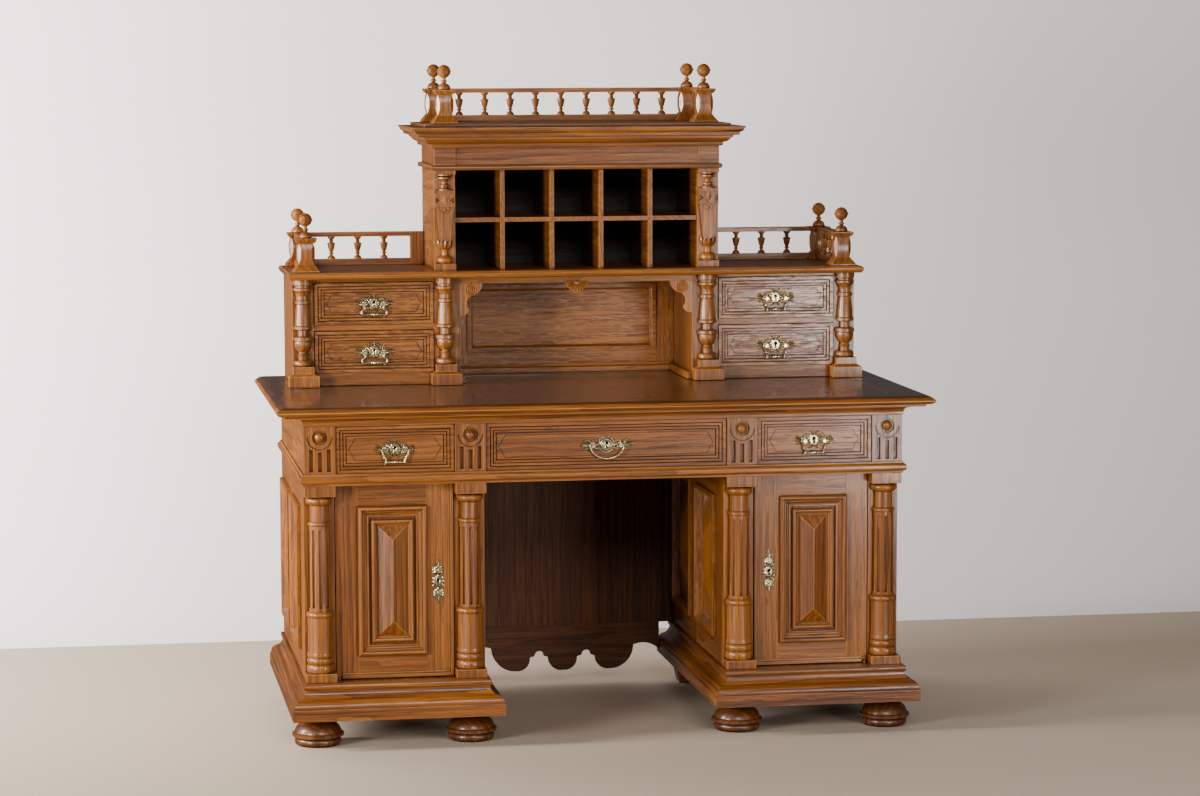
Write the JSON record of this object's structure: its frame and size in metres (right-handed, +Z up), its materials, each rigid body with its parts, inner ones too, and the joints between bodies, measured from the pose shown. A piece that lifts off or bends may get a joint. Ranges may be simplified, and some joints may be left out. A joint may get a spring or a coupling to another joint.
{
  "type": "pedestal desk",
  "caption": "Oak pedestal kneehole desk with stage top: cupboards and drawers below, small drawers, niche and pigeonholes above, turned galleries.",
  "frame": {"origin": "on the floor under the middle of the worktop", "axes": "+X to the sitter's right along the desk, +Y from the sitter to the back, +Z up"},
  "size_m": [1.51, 0.768, 1.536],
  "materials": {
    "oak": "satin",
    "worktop_oak": "satin",
    "raw_oak": "matt",
    "brass": "aged",
    "hinge_steel": "worn"
  },
  "bodies": {
    "desk": {"worktop_frame": "worktop_oak", "worktop_field": "worktop_oak", "bed_moulding": "oak", "string_board": "oak", "frieze_case": "raw_oak", "drawer_runners": "raw_oak", "frieze_blocks": "oak", "pedestal_frames": "oak", "pedestal_side_panels": "oak", "pedestal_insides": "raw_oak", "pedestal_columns": "oak", "plinths": "oak", "bun_feet": "oak", "rear_feet": "oak", "kneehole_back": "oak", "stage_cases": "oak", "stage_columns": "oak", "niche_back": "oak", "niche_apron": "oak", "shelf_board": "oak", "pigeonholes": "oak", "herm_pilasters": "oak", "cornice": "oak", "gallery_posts": "oak", "gallery_railings": "oak", "door_hinge_pins": "hinge_steel"},
    "left_drawer": {"left_drawer_front": "oak", "left_drawer_box": "raw_oak", "left_drawer_plate": "brass"},
    "left_drawer_bail": {"left_drawer_bail": "brass"},
    "centre_drawer": {"centre_drawer_front": "oak", "centre_drawer_box": "raw_oak", "centre_drawer_plate": "brass"},
    "centre_drawer_bail": {"centre_drawer_bail": "brass"},
    "right_drawer": {"right_drawer_front": "oak", "right_drawer_box": "raw_oak", "right_drawer_plate": "brass"},
    "right_drawer_bail": {"right_drawer_bail": "brass"},
    "left_upper_drawer": {"left_upper_drawer_front": "oak", "left_upper_drawer_box": "raw_oak", "left_upper_drawer_plate": "brass"},
    "left_upper_drawer_bail": {"left_upper_drawer_bail": "brass"},
    "left_lower_drawer": {"left_lower_drawer_front": "oak", "left_lower_drawer_box": "raw_oak", "left_lower_drawer_plate": "brass"},
    "left_lower_drawer_bail": {"left_lower_drawer_bail": "brass"},
    "right_upper_drawer": {"right_upper_drawer_front": "oak", "right_upper_drawer_box": "raw_oak", "right_upper_drawer_plate": "brass"},
    "right_upper_drawer_bail": {"right_upper_drawer_bail": "brass"},
    "right_lower_drawer": {"right_lower_drawer_front": "oak", "right_lower_drawer_box": "raw_oak", "right_lower_drawer_plate": "brass"},
    "right_lower_drawer_bail": {"right_lower_drawer_bail": "brass"},
    "left_door": {"left_door_frame": "oak", "left_door_panel": "oak", "left_door_fittings": "brass"},
    "right_door": {"right_door_frame": "oak", "right_door_panel": "oak", "right_door_fittings": "brass"}
  },
  "joints": [
    {"name": "left_drawer_slide", "type": "slide", "parent": "desk", "child": "left_drawer", "axis": [0, -1, 0], "range_m": [0, 0.38]},
    {"name": "left_drawer_bail_swing", "type": "hinge", "parent": "left_drawer", "child": "left_drawer_bail", "pos_m": [-0.484, -0.317, 0.6745], "axis": [-1, 0, 0], "range_deg": [0, 90]},
    {"name": "centre_drawer_slide", "type": "slide", "parent": "desk", "child": "centre_drawer", "axis": [0, -1, 0], "range_m": [0, 0.38]},
    {"name": "centre_drawer_bail_swing", "type": "hinge", "parent": "centre_drawer", "child": "centre_drawer_bail", "pos_m": [0, -0.317, 0.6745], "axis": [-1, 0, 0], "range_deg": [0, 90]},
    {"name": "right_drawer_slide", "type": "slide", "parent": "desk", "child": "right_drawer", "axis": [0, -1, 0], "range_m": [0, 0.38]},
    {"name": "right_drawer_bail_swing", "type": "hinge", "parent": "right_drawer", "child": "right_drawer_bail", "pos_m": [0.484, -0.317, 0.6745], "axis": [-1, 0, 0], "range_deg": [0, 90]},
    {"name": "left_upper_drawer_slide", "type": "slide", "parent": "desk", "child": "left_upper_drawer", "axis": [0, -1, 0], "range_m": [0, 0.16]},
    {"name": "left_upper_drawer_bail_swing", "type": "hinge", "parent": "left_upper_drawer", "child": "left_upper_drawer_bail", "pos_m": [-0.4865, 0.109, 0.97175], "axis": [-1, 0, 0], "range_deg": [0, 90]},
    {"name": "left_lower_drawer_slide", "type": "slide", "parent": "desk", "child": "left_lower_drawer", "axis": [0, -1, 0], "range_m": [0, 0.16]},
    {"name": "left_lower_drawer_bail_swing", "type": "hinge", "parent": "left_lower_drawer", "child": "left_lower_drawer_bail", "pos_m": [-0.4865, 0.109, 0.85725], "axis": [-1, 0, 0], "range_deg": [0, 90]},
    {"name": "right_upper_drawer_slide", "type": "slide", "parent": "desk", "child": "right_upper_drawer", "axis": [0, -1, 0], "range_m": [0, 0.16]},
    {"name": "right_upper_drawer_bail_swing", "type": "hinge", "parent": "right_upper_drawer", "child": "right_upper_drawer_bail", "pos_m": [0.4865, 0.109, 0.97175], "axis": [-1, 0, 0], "range_deg": [0, 90]},
    {"name": "right_lower_drawer_slide", "type": "slide", "parent": "desk", "child": "right_lower_drawer", "axis": [0, -1, 0], "range_m": [0, 0.16]},
    {"name": "right_lower_drawer_bail_swing", "type": "hinge", "parent": "right_lower_drawer", "child": "right_lower_drawer_bail", "pos_m": [0.4865, 0.109, 0.85725], "axis": [-1, 0, 0], "range_deg": [0, 90]},
    {"name": "left_door_swing", "type": "hinge", "parent": "desk", "child": "left_door", "pos_m": [-0.613, -0.284, 0.3725], "axis": [0, 0, -1], "range_deg": [0, 90]},
    {"name": "right_door_swing", "type": "hinge", "parent": "desk", "child": "right_door", "pos_m": [0.613, -0.284, 0.3725], "axis": [0, 0, 1], "range_deg": [0, 90]}
  ]
}
